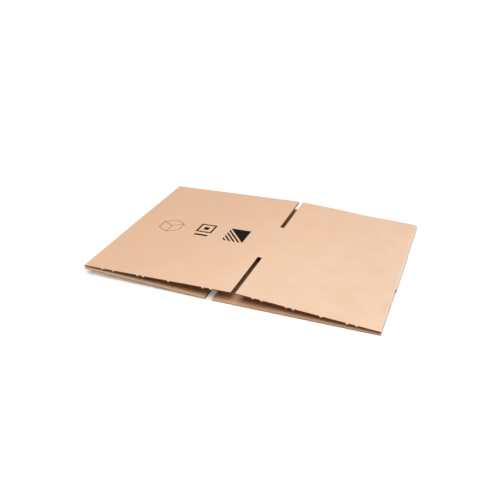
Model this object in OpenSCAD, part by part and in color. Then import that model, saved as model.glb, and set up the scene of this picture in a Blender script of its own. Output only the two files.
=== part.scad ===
// Slotted shipping carton in corrugated board, glued into a sleeve and lying folded flat.
// Millimetres, +Z up. The origin lies on the floor under the middle of the folded carton,
// +X runs along the front edge from the raised fold to the grounded one, and +Y runs to the back.

/* [Carton] */
// Width of the two long panels, from score to score
long_panel = 253; // [200:1:340]
// Width of the two short panels, from score to score
short_panel = 212; // [150:1:280]
// Height of the four panels between their flap scores
panel_h = 104; // [70:1:200]

/* [Board] */
// Thickness of the corrugated board
board_t = 3; // [2.4:0.1:4.5]
// Thickness of each facing liner
liner_t = 0.4; // [0.2:0.05:0.5]
// Thickness of the fluted medium between the liners
medium_t = 0.35; // [0.2:0.05:0.5]
// Distance from one flute to the next
flute_pitch = 6.5; // [5.5:0.1:9]
// Depth to which the flutes stand open behind a cut edge
flute_depth = 12; // [4:1:30]

/* [Slots and glue joint] */
// Width of the slots that part neighbouring flaps
slot_w = 7; // [5:0.5:9]
// Gap between the joint score and the cut edge of the last long panel
joint_gap = 7.5; // [4:0.5:12]
// Width of the glue tab on the last long panel
tab_w = 35; // [20:1:45]
// Thickness of the glue tab, crushed flat for gluing
tab_t = 2; // [1.2:0.1:3]
// Slope of the glue tab's two ends, in degrees
tab_taper = 15; // [5:1:30]

/* [Scores] */
// Width of a pressed score
score_w = 3; // [2:0.5:5]
// Depth of a score on the outside of the carton
score_out_d = 0.2; // [0.1:0.05:0.5]
// Depth of a score on the inside of the carton
score_in_d = 1; // [0.4:0.1:1.2]

/* [Nicks] */
// Width of a torn nick at its root
nick_w = 3; // [1:0.1:4]
// Reach of a torn nick beyond the cut edge
nick_out = 1.1; // [0.5:0.1:2]

/* [How it lies] */
// Space left between the two boards inside each fold
fold_gap = 1; // [0.8:0.1:2]
// Height of the raised fold's underside above the floor
left_lift = 10; // [4:0.5:13]
// Height of the outer face at the middle crease
ridge_h = 20; // [17:0.5:30]

/* [Hidden] */

// Colours of the outer liner, on the lit upper layer and the lower layer
upper_kraft = "#ecc8a8";
lower_kraft = "#dcb491";

// How far cutting shapes run past the faces that they cut
overrun = fold_gap * 0.3;
// Facets round the outside and the inside of a fold
fold_steps = 24;
inner_steps = 8;
// Widths of an open flute at its two ends, as shares of the pitch
flute_wide_share = 0.75;
flute_narrow_share = 0.2;
// Width of a torn nick's tip as a share of its root
nick_tip_share = 0.5;
// Places of the torn nicks along the front cut edges, from a flap's left-hand side
long_nick_shares = [0.14, 0.22, 0.39, 0.43, 0.595, 0.82, 0.875];
short_nick_shares = [0.13, 0.185, 0.36, 0.415, 0.605, 0.785, 0.845];

// Two long flaps meet in the middle of the made-up carton, so a flap is half a short panel deep
flap_d = short_panel / 2;

// A fold wraps the outer liner round the inner gap. Half of that arc is taken from each panel
fold_in_r = fold_gap / 2;
fold_out_r = fold_in_r + board_t;
fold_arc = PI * fold_out_r / 2;
long_run = long_panel - fold_arc;
short_run = short_panel - fold_arc;

// Slots are centred on the scores, so a flap's side passes the centre of a fold by this much
edge_out = fold_arc - slot_w / 2;

// Slopes of the panels across the carton, positive where the panel rises to the right
upper_long_tilt = asin((ridge_h - left_lift - 2 * fold_out_r) / long_run);
upper_short_tilt = -asin((ridge_h - 2 * fold_out_r) / short_run);
lower_short_tilt = -asin(left_lift / short_run);

// Unit vector across the carton, in the X and Z plane
function along(angle) = [cos(angle), sin(angle)];

// How many flutes a cut edge lays open against the outer liner, and where the first one lies
function flute_count(width) = floor(width / flute_pitch);
function first_flute(width) = (width - (flute_count(width) - 1) * flute_pitch) / 2;

// Place where the medium crosses between the liners, nearest to a share of a cut edge
function crossing(width, share) =
    let (half_pitch = flute_pitch / 2, first = first_flute(width) + half_pitch / 2)
    first + round((share * width - first) / half_pitch) * half_pitch;

// Points round part of a circle
function arc(centre, radius, from, to, steps) =
    [for (i = [0:steps]) centre + radius * along(from + (to - from) * i / steps)];

// Centres of the two folds
fold_span = short_run * cos(upper_short_tilt) + long_run * cos(upper_long_tilt)
    - fold_in_r * (sin(upper_long_tilt) - sin(upper_short_tilt));
right_fold = [fold_span / 2, fold_out_r];
left_fold = [-fold_span / 2, left_lift + fold_out_r];

// Left-hand ends of the panels on their inner faces, and the two ends at the glue joint
upper_long_start = left_fold + fold_in_r * along(upper_long_tilt + 90);
upper_short_start = right_fold + fold_in_r * along(upper_short_tilt + 90)
    - short_run * along(upper_short_tilt);
lower_short_start = left_fold + fold_in_r * along(lower_short_tilt - 90);
joint_in = lower_short_start + short_run * along(lower_short_tilt);
joint_out = joint_in + board_t * along(lower_short_tilt - 90);
lower_long_start = [joint_in[0] + joint_gap, board_t];
lower_long_run = right_fold[0] - lower_long_start[0];

// Widths of the flaps
long_flap_w = long_run - slot_w / 2 + edge_out;
short_flap_w = short_run - slot_w / 2 + edge_out;
last_flap_w = lower_long_run + edge_out;

// The middle crease, pressed in from both faces of the board
ridge_up = along((upper_long_tilt + upper_short_tilt) / 2 + 90);
ridge_outside = [
    upper_short_start + board_t * along(upper_long_tilt + 90) - score_w / 2 * along(upper_long_tilt),
    upper_short_start + (board_t - score_out_d) * ridge_up,
    upper_short_start + board_t * along(upper_short_tilt + 90) + score_w / 2 * along(upper_short_tilt)
];
ridge_inside = [
    upper_short_start + score_w / 2 * along(upper_short_tilt),
    upper_short_start + score_in_d * ridge_up,
    upper_short_start - score_w / 2 * along(upper_long_tilt)
];

// Section of the folded board, from the joint score round both folds to the last panel's cut edge
sleeve_outline = concat(
    [joint_out],
    arc(left_fold, fold_out_r, lower_short_tilt + 270, upper_long_tilt + 90, fold_steps),
    ridge_outside,
    arc(right_fold, fold_out_r, upper_short_tilt + 90, -90, fold_steps),
    [[lower_long_start[0], 0], lower_long_start],
    arc(right_fold, fold_in_r, -90, upper_short_tilt + 90, inner_steps),
    ridge_inside,
    arc(left_fold, fold_in_r, upper_long_tilt + 90, lower_short_tilt + 270, inner_steps),
    [joint_in]
);

// Section of the glue tab, which steps up from the joint score onto the last panel's inner face
tab_end = lower_long_start[0] + tab_w;
tab_outline = [
    joint_out,
    joint_in,
    lower_long_start + [0, tab_t],
    [tab_end, board_t + tab_t],
    [tab_end, board_t],
    lower_long_start
];

// Each of these places its children on one panel: X along the panel from its left-hand end,
// Y to the back, and Z from the inner face towards the outside of the carton
module on_upper_long() {
    translate([upper_long_start[0], 0, upper_long_start[1]])
        rotate([0, -upper_long_tilt, 0])
            children();
}

module on_upper_short() {
    translate([upper_short_start[0], 0, upper_short_start[1]])
        rotate([0, -upper_short_tilt, 0])
            children();
}

module on_lower_short() {
    translate([lower_short_start[0], 0, lower_short_start[1]])
        rotate([0, -lower_short_tilt, 0])
            mirror([0, 0, 1])
                children();
}

module on_lower_long() {
    translate([lower_long_start[0], 0, lower_long_start[1]])
        mirror([0, 0, 1])
            children();
}

// Extrudes a section of the carton's width from front to back
module along_carton(depth) {
    rotate([90, 0, 0])
        linear_extrude(height = depth, center = true)
            children();
}

// The hollow that a score presses into both faces of the board, along X
module score_press(length) {
    half_w = score_w / 2;
    outer_half_w = half_w * (1 + overrun / score_out_d);
    inner_half_w = half_w * (1 + overrun / score_in_d);
    translate([-overrun, 0, 0])
        rotate([90, 0, 90])
            linear_extrude(height = length + 2 * overrun) {
                polygon([
                    [0, board_t - score_out_d],
                    [outer_half_w, board_t + overrun],
                    [-outer_half_w, board_t + overrun]
                ]);
                polygon([
                    [0, score_in_d],
                    [-inner_half_w, -overrun],
                    [inner_half_w, -overrun]
                ]);
            }
}

// Both flap scores of one panel
module panel_scores(from, length) {
    for (side = [-1, 1])
        translate([from, side * panel_h / 2, 0])
            score_press(length);
}

// One open flute, widest against the liner at the top of the board
module flute_cell() {
    wide = flute_pitch * flute_wide_share / 2;
    narrow = flute_pitch * flute_narrow_share / 2;
    polygon([
        [-narrow, liner_t + medium_t],
        [narrow, liner_t + medium_t],
        [wide, board_t - liner_t],
        [-wide, board_t - liner_t]
    ]);
}

// The row of flutes that a cut edge lays open, alternately against the outer and the inner liner
module flute_row(width) {
    count = flute_count(width);
    first = first_flute(width);
    for (i = [0:count - 1])
        translate([first + i * flute_pitch, 0])
            flute_cell();
    for (i = [0:count - 2])
        translate([first + (i + 0.5) * flute_pitch, board_t])
            mirror([0, 1])
                flute_cell();
}

// A torn remnant of the board, where the blank hung on to its neighbour. The outer liner tore last
// and reaches farthest, and the tear slopes back to the inner liner
module nick() {
    root = nick_w / 2;
    tip = root * nick_tip_share;
    intersection() {
        linear_extrude(height = board_t)
            polygon([[-root, 0], [-tip, -nick_out], [tip, -nick_out], [root, 0]]);
        rotate([90, 0, 90])
            linear_extrude(height = nick_w, center = true)
                polygon([[0, 0], [0, board_t], [-nick_out, board_t], [-nick_out, board_t - liner_t]]);
    }
}

// The nicks along a flap's cut edge, each holding on where the medium backs both liners
module nick_row(width, shares) {
    for (share = shares)
        translate([crossing(width, share), -flap_d, 0])
            nick();
}

// A flap with its score on the X axis, its cut edge towards -Y and its outer face up
module flap(width) {
    difference() {
        translate([0, -flap_d, 0])
            cube([width, flap_d, board_t]);
        score_press(width);
        translate([0, flute_depth - flap_d, 0])
            rotate([90, 0, 0])
                linear_extrude(height = flute_depth + overrun)
                    flute_row(width);
    }
}

// A flap set at its panel's front score, with the nicks of its cut edge
module front_flap(from, width, nick_shares) {
    translate([from, -panel_h / 2, 0]) {
        flap(width);
        nick_row(width, nick_shares);
    }
}

// A flap set at its panel's back score
module back_flap(from, width) {
    translate([from, panel_h / 2, 0])
        mirror([0, 1, 0])
            flap(width);
}

// The four panels, folded flat round the two folds
module sleeve() {
    color(upper_kraft)
        difference() {
            along_carton(panel_h)
                polygon(sleeve_outline);
            on_upper_long()
                panel_scores(-edge_out, long_flap_w);
            on_upper_short()
                panel_scores(slot_w / 2, short_flap_w);
            on_lower_short()
                panel_scores(-edge_out, short_flap_w);
            on_lower_long()
                panel_scores(0, last_flap_w);
        }
}

// The tab that carries on from the first panel and is glued inside the last, tapered to its free edge
module glue_tab() {
    reach = tab_end - joint_in[0];
    root_half = panel_h / 2 + overrun * tan(tab_taper);
    tip_half = panel_h / 2 - reach * tan(tab_taper);
    color(lower_kraft)
        intersection() {
            along_carton(panel_h)
                polygon(tab_outline);
            translate([joint_in[0], 0, -overrun])
                linear_extrude(height = board_t + tab_t + 2 * overrun)
                    polygon([
                        [-overrun, -root_half],
                        [reach, -tip_half],
                        [reach, tip_half],
                        [-overrun, root_half]
                    ]);
        }
}

module upper_front_long_flap() {
    color(upper_kraft)
        on_upper_long()
            front_flap(-edge_out, long_flap_w, long_nick_shares);
}

module upper_front_short_flap() {
    color(upper_kraft)
        on_upper_short()
            front_flap(slot_w / 2, short_flap_w, short_nick_shares);
}

module upper_back_long_flap() {
    color(upper_kraft)
        on_upper_long()
            back_flap(-edge_out, long_flap_w);
}

module upper_back_short_flap() {
    color(upper_kraft)
        on_upper_short()
            back_flap(slot_w / 2, short_flap_w);
}

module lower_front_short_flap() {
    color(lower_kraft)
        on_lower_short()
            front_flap(-edge_out, short_flap_w, short_nick_shares);
}

module lower_front_long_flap() {
    color(lower_kraft)
        on_lower_long()
            front_flap(0, last_flap_w, long_nick_shares);
}

module lower_back_short_flap() {
    color(lower_kraft)
        on_lower_short()
            back_flap(-edge_out, short_flap_w);
}

module lower_back_long_flap() {
    color(lower_kraft)
        on_lower_long()
            back_flap(0, last_flap_w);
}

sleeve();
glue_tab();
upper_front_long_flap();
upper_front_short_flap();
upper_back_long_flap();
upper_back_short_flap();
lower_front_short_flap();
lower_front_long_flap();
lower_back_short_flap();
lower_back_long_flap();
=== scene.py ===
"""Looks of a slotted corrugated carton that lies folded flat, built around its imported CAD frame.

All lengths are metres in the CAD frame: +X along the front edge, +Y along the flutes to the back, +Z up.
"""

from __future__ import annotations

import logging
import math
import random
from contextlib import contextmanager
from dataclasses import dataclass, field, replace
from enum import Enum
from itertools import pairwise
from typing import Callable, Iterator, Sequence

import bmesh
import bpy
from mathutils import Matrix, Vector, noise


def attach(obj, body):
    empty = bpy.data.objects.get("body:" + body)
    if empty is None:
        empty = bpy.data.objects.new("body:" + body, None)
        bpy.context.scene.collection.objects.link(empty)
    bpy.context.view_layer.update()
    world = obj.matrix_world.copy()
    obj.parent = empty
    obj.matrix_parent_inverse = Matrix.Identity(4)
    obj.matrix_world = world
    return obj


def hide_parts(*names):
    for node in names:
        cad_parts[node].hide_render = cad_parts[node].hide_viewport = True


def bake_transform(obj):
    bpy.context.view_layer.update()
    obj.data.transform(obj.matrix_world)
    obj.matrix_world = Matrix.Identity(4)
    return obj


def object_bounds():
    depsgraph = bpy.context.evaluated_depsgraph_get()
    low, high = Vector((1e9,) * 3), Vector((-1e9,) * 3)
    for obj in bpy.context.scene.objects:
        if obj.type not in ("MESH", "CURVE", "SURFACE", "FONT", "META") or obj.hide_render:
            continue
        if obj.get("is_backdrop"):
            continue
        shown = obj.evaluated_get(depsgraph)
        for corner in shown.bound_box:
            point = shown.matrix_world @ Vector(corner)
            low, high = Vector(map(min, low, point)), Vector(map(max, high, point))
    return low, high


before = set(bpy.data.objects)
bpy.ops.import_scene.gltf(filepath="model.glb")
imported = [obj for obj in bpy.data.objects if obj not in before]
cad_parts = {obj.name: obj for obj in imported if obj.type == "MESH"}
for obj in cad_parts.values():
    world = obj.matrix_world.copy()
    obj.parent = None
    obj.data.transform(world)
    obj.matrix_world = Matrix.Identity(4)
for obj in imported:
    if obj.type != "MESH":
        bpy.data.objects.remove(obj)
CAD_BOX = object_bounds()

LOG = logging.getLogger("carton")

MM = 0.001
QUARTER_TURN = math.pi / 2
HALF_TURN = math.pi
FULL_TURN = 2 * math.pi
TINY = 1e-6
HALF_UNIT = 0.5  # half the side of a primitive of size 1
MIDDLE = 0.5  # middle of a noise or of a tone between two colours
FACING = 0.5  # least share of a normal along an axis in a face that looks that way

Piece = bpy.types.Object
Material = bpy.types.Material
Socket = bpy.types.NodeSocket
EdgeTest = Callable[[Vector, Vector], bool]
Pair = tuple[float, float]
Triple = tuple[float, float, float]
Colour = tuple[float, float, float, float]


class Facing(Enum):
    """Which way the outer liner of a panel looks."""

    UP = 1
    DOWN = -1


class End(Enum):
    """The end of the sleeve that a flap hangs from."""

    FRONT = -1
    BACK = 1


class Source(Enum):
    """Where a material reads the place of a point on the folded carton."""

    ATTRIBUTE = "flat_place"
    OBJECT = "Object"


class Ply(Enum):
    """The papers that corrugated board is glued from, by the way they look: out, both ways or in."""

    OUTER = 1
    MEDIUM = 0
    INNER = -1


class Face(Enum):
    """The faces of a flap's paper, in the order of their material slots."""

    FLAT = 0
    SIDE = 1
    GLUED = 2
    TORN = 3
    CUT = 4


class Lining(Enum):
    """The faces of the sleeve's board, in the order of their material slots."""

    OUTSIDE = 0
    INSIDE = 1
    EDGE = 2


class LampKind(Enum):
    """The kinds of lamp in the studio."""

    SUN = "SUN"
    PANEL = "AREA"


def heading(angle: float) -> Vector:
    """Unit vector in the XZ plane, turned up from +X by an angle in radians."""
    return Vector((math.cos(angle), 0.0, math.sin(angle)))


def ease(share: float) -> float:
    """Smooth step from 0 to 1 of a share that is held to that range."""
    held = min(1.0, max(0.0, share))
    return held * held * (3.0 - 2.0 * held)


def only(piece: Piece) -> None:
    """Makes one object the selected and active one.

    Args:
        piece: The object.
    """
    bpy.ops.object.select_all(action="DESELECT")
    piece.select_set(True)
    bpy.context.view_layer.objects.active = piece


def start_from(primitive: Callable[..., set[str]], name: str, **settings: object) -> Piece:
    """Adds a primitive with nothing else selected.

    Args:
        primitive: The operator that adds it.
        name: Name of the new object.
        settings: The operator's settings.

    Returns:
        The new object.
    """
    bpy.ops.object.select_all(action="DESELECT")
    primitive(**settings)
    made = bpy.context.object
    made.name = name
    return made


@contextmanager
def editing(piece: Piece) -> Iterator[None]:
    """Opens a piece in edit mode with nothing selected, and closes it again.

    Args:
        piece: The mesh object to edit.

    Yields:
        Nothing.
    """
    only(piece)
    bpy.ops.object.mode_set(mode="EDIT")
    bpy.ops.mesh.select_mode(type="EDGE")
    bpy.ops.mesh.select_all(action="DESELECT")
    try:
        yield
    finally:
        bpy.ops.object.mode_set(mode="OBJECT")


def pick(piece: Piece, test: EdgeTest) -> None:
    """Selects the edges of a piece in edit mode by the places of their two ends.

    Args:
        piece: The mesh object that is open in edit mode.
        test: Says whether an edge between two points is wanted.
    """
    bpy.ops.mesh.select_all(action="DESELECT")
    cage = bmesh.from_edit_mesh(piece.data)
    for edge in cage.edges:
        if test(edge.verts[0].co, edge.verts[1].co):
            edge.select_set(True)
    bmesh.update_edit_mesh(piece.data)


def push_edges(step: Vector) -> None:
    """Extrudes the selected edges by a step."""
    bpy.ops.mesh.extrude_edges_move(TRANSFORM_OT_translate={"value": tuple(step)})


def modify(piece: Piece, kind: str, **settings: object) -> None:
    """Gives a piece a modifier and applies it.

    Args:
        piece: The piece.
        kind: The modifier's type.
        settings: The modifier's settings.
    """
    only(piece)
    modifier = piece.modifiers.new(kind, kind)
    for key, value in settings.items():
        setattr(modifier, key, value)
    bpy.ops.object.modifier_apply(modifier=modifier.name)


def thicken(piece: Piece, thickness: float, offset: float) -> None:
    """Gives a sheet its thickness, behind it at an offset of -1, in front at 1 and to both sides at 0."""
    settings = {"use_even_offset": True, "use_quality_normals": True}
    modify(piece, "SOLIDIFY", thickness=thickness, offset=offset, **settings)


def smooth(piece: Piece, angle: float) -> None:
    """Shades a piece smooth across edges that turn less than an angle."""
    only(piece)
    bpy.ops.object.shade_smooth_by_angle(angle=angle)


def join(name: str, parts: Sequence[Piece]) -> Piece:
    """Joins meshes into one named piece.

    Args:
        name: Name of the piece.
        parts: The meshes, of which the first takes in the others.

    Returns:
        The joined piece.
    """
    piece = parts[0]
    only(piece)
    for part in parts:
        part.select_set(True)
    if len(parts) > 1:
        bpy.ops.object.join()
    piece.name = name
    piece.data.name = name
    return piece


def note_places(piece: Piece) -> None:
    """Keeps every point's place at rest, so that the paper's texture moves with the board.

    Args:
        piece: The finished mesh.
    """
    places = piece.data.attributes.new(Source.ATTRIBUTE.value, "FLOAT_VECTOR", "POINT")
    for vertex, place in zip(piece.data.vertices, places.data):
        place.vector = vertex.co


@dataclass(frozen=True)
class PanelFrame:
    """Where one panel lies: its left-hand end on the inner face, its slope, its outlook and its length."""

    start: Vector
    tilt: float
    facing: Facing
    length: float

    @property
    def outward(self) -> Vector:
        """Unit vector out of the outer liner."""
        return heading(self.tilt + QUARTER_TURN) * self.facing.value

    def outer(self, run: float, board: float) -> Vector:
        """Point of the outer face in the XZ plane, at a run along the panel."""
        return self.start + heading(self.tilt) * run + self.outward * board

    def matrix(self, end: End, score: float) -> Matrix:
        """Places run along the panel, reach from a flap score and rise from the inner face.

        Args:
            end: The end of the panel whose score is meant.
            score: Distance of that score from the carton's middle.

        Returns:
            The matrix from (run, reach, rise) to the CAD frame.
        """
        reach = Vector((0.0, float(end.value), 0.0))
        turn = Matrix((heading(self.tilt), reach, self.outward)).transposed().to_4x4()
        return Matrix.Translation(self.start + reach * score) @ turn


@dataclass
class CartonLayout:
    """Sizes of the carton and the way it lies, as in its CAD source, and the place of a thumb's dent."""

    long_panel: float = 253 * MM
    short_panel: float = 212 * MM
    panel_height: float = 104 * MM
    board: float = 3 * MM
    liner: float = 0.4 * MM
    medium: float = 0.35 * MM
    flute_pitch: float = 6.5 * MM
    slot: float = 7 * MM
    joint_gap: float = 7.5 * MM
    score_width: float = 3 * MM
    score_outer: float = 0.2 * MM
    score_inner: float = 1 * MM
    fold_gap: float = 1 * MM
    left_lift: float = 10 * MM
    ridge_height: float = 20 * MM
    thumb_run: float = 118 * MM
    long_nick_shares: tuple[float, ...] = (0.14, 0.22, 0.39, 0.43, 0.595, 0.82, 0.875)
    short_nick_shares: tuple[float, ...] = (0.13, 0.185, 0.36, 0.415, 0.605, 0.785, 0.845)

    def __post_init__(self) -> None:
        """Works out the sizes that follow from these."""
        self.score: float = self.panel_height / 2
        self.flap_depth: float = self.short_panel / 2
        self.fold_inner: float = self.fold_gap / 2
        self.fold_outer: float = self.fold_inner + self.board
        # Length of outer liner that a fold takes from each of its panels.
        self.fold_arc: float = QUARTER_TURN * self.fold_outer
        self.long_run: float = self.long_panel - self.fold_arc
        self.short_run: float = self.short_panel - self.fold_arc
        # How far a flap's side passes the centre of a fold.
        self.edge_out: float = self.fold_arc - self.slot / 2
        self._lay_panels()

    def _lay_panels(self) -> None:
        """Works out the centres of the two folds and the frames of the four panels."""
        long_tilt = math.asin((self.ridge_height - self.left_lift - 2 * self.fold_outer) / self.long_run)
        short_tilt = -math.asin((self.ridge_height - 2 * self.fold_outer) / self.short_run)
        lower_tilt = -math.asin(self.left_lift / self.short_run)
        spread = math.sin(long_tilt) - math.sin(short_tilt)
        short = self.short_run * math.cos(short_tilt)
        fold_span = short + self.long_run * math.cos(long_tilt) - self.fold_inner * spread
        self.left_fold: Vector = Vector((-fold_span / 2, 0.0, self.left_lift + self.fold_outer))
        self.right_fold: Vector = Vector((fold_span / 2, 0.0, self.fold_outer))
        start = self.left_fold + self.fold_inner * heading(long_tilt + QUARTER_TURN)
        self.upper_long: PanelFrame = PanelFrame(start, long_tilt, Facing.UP, self.long_run)
        end = self.right_fold + self.fold_inner * heading(short_tilt + QUARTER_TURN)
        start = end - self.short_run * heading(short_tilt)
        self.upper_short: PanelFrame = PanelFrame(start, short_tilt, Facing.UP, self.short_run)
        start = self.left_fold + self.fold_inner * heading(lower_tilt - QUARTER_TURN)
        self.lower_short: PanelFrame = PanelFrame(start, lower_tilt, Facing.DOWN, self.short_run)
        joint = start + self.short_run * heading(lower_tilt)
        start = Vector((joint.x + self.joint_gap, 0.0, self.board))
        self.lower_long: PanelFrame = PanelFrame(start, 0.0, Facing.DOWN, self.right_fold.x - start.x)

    def pressed(self, distance: float) -> float:
        """How deep a score is at a distance from its line, from 1 to 0."""
        return ease(1.0 - abs(distance) / (self.score_width / 2))


class Wire:
    """A number in a node tree. Arithmetic on it adds Math nodes."""

    def __init__(self, sheet: NodeSheet, socket: Socket) -> None:
        """Wraps an output socket of a tree."""
        self.sheet = sheet
        self.socket = socket

    def __add__(self, other: Number) -> Wire:
        """Sum."""
        return self.sheet.math("ADD", self, other)

    def __radd__(self, other: Number) -> Wire:
        """Sum, from the right."""
        return self.sheet.math("ADD", other, self)

    def __sub__(self, other: Number) -> Wire:
        """Difference."""
        return self.sheet.math("SUBTRACT", self, other)

    def __rsub__(self, other: Number) -> Wire:
        """Difference, from the right."""
        return self.sheet.math("SUBTRACT", other, self)

    def __mul__(self, other: Number) -> Wire:
        """Product."""
        return self.sheet.math("MULTIPLY", self, other)

    def __rmul__(self, other: Number) -> Wire:
        """Product, from the right."""
        return self.sheet.math("MULTIPLY", other, self)


Number = Wire | float


class NodeSheet:
    """A node tree while its nodes are being laid out."""

    def __init__(self, tree: bpy.types.NodeTree) -> None:
        """Empties the tree."""
        self.tree = tree
        tree.nodes.clear()

    def feed(self, target: Socket, value: object) -> None:
        """Links a socket to an input, or sets the input to a plain value.

        Args:
            target: The input socket.
            value: A wire, an output socket, a number, a vector or a colour.
        """
        source = value.socket if isinstance(value, Wire) else value
        if isinstance(source, bpy.types.NodeSocket):
            self.tree.links.new(source, target)
        else:
            target.default_value = source

    def node(
        self,
        kind: str,
        settings: dict[str, object] | None = None,
        sockets: dict[str | int, object] | None = None,
    ) -> bpy.types.Node:
        """Adds a node.

        Args:
            kind: The node's type.
            settings: The node's own settings, which are set first.
            sockets: Values or links of its inputs, by name or place.

        Returns:
            The new node.
        """
        made = self.tree.nodes.new(kind)
        for key, value in (settings or {}).items():
            setattr(made, key, value)
        for key, value in (sockets or {}).items():
            self.feed(made.inputs[key], value)
        return made

    def math(self, operation: str, first: Number | Socket, second: Number | Socket = 0.0) -> Wire:
        """Adds a Math node on one or two values and gives its result."""
        made = self.node("ShaderNodeMath", {"operation": operation}, {0: first, 1: second})
        return Wire(self, made.outputs[0])

    def step(
        self, value: Number | Socket, low: float, high: float, before: float = 0.0, after: float = 1.0
    ) -> Wire:
        """Smooth step of a value.

        Args:
            value: The value.
            low: Where the step starts.
            high: Where it ends.
            before: The result up to its start.
            after: The result from its end on.

        Returns:
            The step.
        """
        settings = {"interpolation_type": "SMOOTHSTEP", "clamp": True}
        sockets = {"Value": value, "From Min": low, "From Max": high, "To Min": before, "To Max": after}
        return Wire(self, self.node("ShaderNodeMapRange", settings, sockets).outputs["Result"])

    def shown(self) -> Wire:
        """Finds the rays that show a surface: camera, glossy and transmission rays.

        Returns:
            1 for those rays and 0 for the others.
        """
        rays = self.node("ShaderNodeLightPath").outputs
        either = self.math("MAXIMUM", rays["Is Camera Ray"], rays["Is Glossy Ray"])
        return self.math("MAXIMUM", either, rays["Is Transmission Ray"])


@dataclass(frozen=True)
class Grain:
    """A layer of noise: cycles per metre, or along each axis, octaves and weight in the result."""

    cycles: float | Triple
    octaves: float
    weight: float


class Paint(NodeSheet):
    """A procedural material while its nodes are being laid out."""

    MIX_FACTOR = 0
    MIX_FIRST = 6
    MIX_SECOND = 7
    MIX_RESULT = 2

    def __init__(self, name: str) -> None:
        """Starts a material.

        Args:
            name: Name of the material.
        """
        self.material = bpy.data.materials.new(name)
        self.material.use_nodes = True
        super().__init__(self.material.node_tree)

    def place(self, source: Source = Source.ATTRIBUTE) -> Socket:
        """Finds the coordinates of a point in the CAD frame.

        Args:
            source: Whether they are kept on the piece or those of its object.

        Returns:
            The coordinates.
        """
        if source is Source.OBJECT:
            return self.node("ShaderNodeTexCoord").outputs[source.value]
        return self.node("ShaderNodeAttribute", {"attribute_name": source.value}).outputs["Vector"]

    def axes(self, spot: Socket) -> tuple[Wire, Wire]:
        """The X and Y coordinates of a vector socket."""
        parts = self.node("ShaderNodeSeparateXYZ", sockets={0: spot})
        return Wire(self, parts.outputs[0]), Wire(self, parts.outputs[1])

    def grain(self, spot: Socket, grain: Grain) -> Wire:
        """Adds noise about zero, between about -0.5 and 0.5.

        Args:
            spot: The coordinates.
            grain: The noise's fineness.

        Returns:
            The noise.
        """
        cycles = grain.cycles
        if isinstance(cycles, tuple):
            stretched = self.node("ShaderNodeMapping", sockets={"Vector": spot, "Scale": cycles})
            spot = stretched.outputs["Vector"]
            cycles = 1.0
        sockets = {"Vector": spot, "Scale": cycles, "Detail": grain.octaves}
        return Wire(self, self.node("ShaderNodeTexNoise", sockets=sockets).outputs["Fac"]) - MIDDLE

    def line(self, value: Wire, at: float, width: float) -> Wire:
        """Mask of 1 where a coordinate is close to a place and 0 beyond a width from it."""
        return 1.0 - self.step(self.math("ABSOLUTE", value - at), 0.0, width)

    def mix(self, factor: Number, first: object, second: object) -> Socket:
        """Mixes two colours.

        Args:
            factor: Share of the second colour.
            first: First colour or colour socket.
            second: Second colour or colour socket.

        Returns:
            The mixed colour.
        """
        sockets = {self.MIX_FACTOR: factor, self.MIX_FIRST: first, self.MIX_SECOND: second}
        made = self.node("ShaderNodeMix", {"data_type": "RGBA", "clamp_factor": True}, sockets)
        return made.outputs[self.MIX_RESULT]

    def finish(
        self, base: Socket, roughness: Number, height: Wire, relief: float, gloss: float = 0.18
    ) -> Material:
        """Adds the shader and hands the material over.

        Args:
            base: Base colour.
            roughness: Roughness.
            height: Height of the fine relief, in units of relief.
            relief: Depth in metres that a height of 1 stands for.
            gloss: Level of the plain specular reflection.

        Returns:
            The finished material.
        """
        bump = self.node("ShaderNodeBump", sockets={"Height": height, "Distance": relief, "Strength": 1.0})
        sockets = {"Base Color": base, "Roughness": roughness, "Normal": bump.outputs["Normal"]}
        sockets["Specular IOR Level"] = gloss
        shader = self.node("ShaderNodeBsdfPrincipled", sockets=sockets)
        self.node("ShaderNodeOutputMaterial", sockets={"Surface": shader.outputs["BSDF"]})
        return self.material


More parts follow.
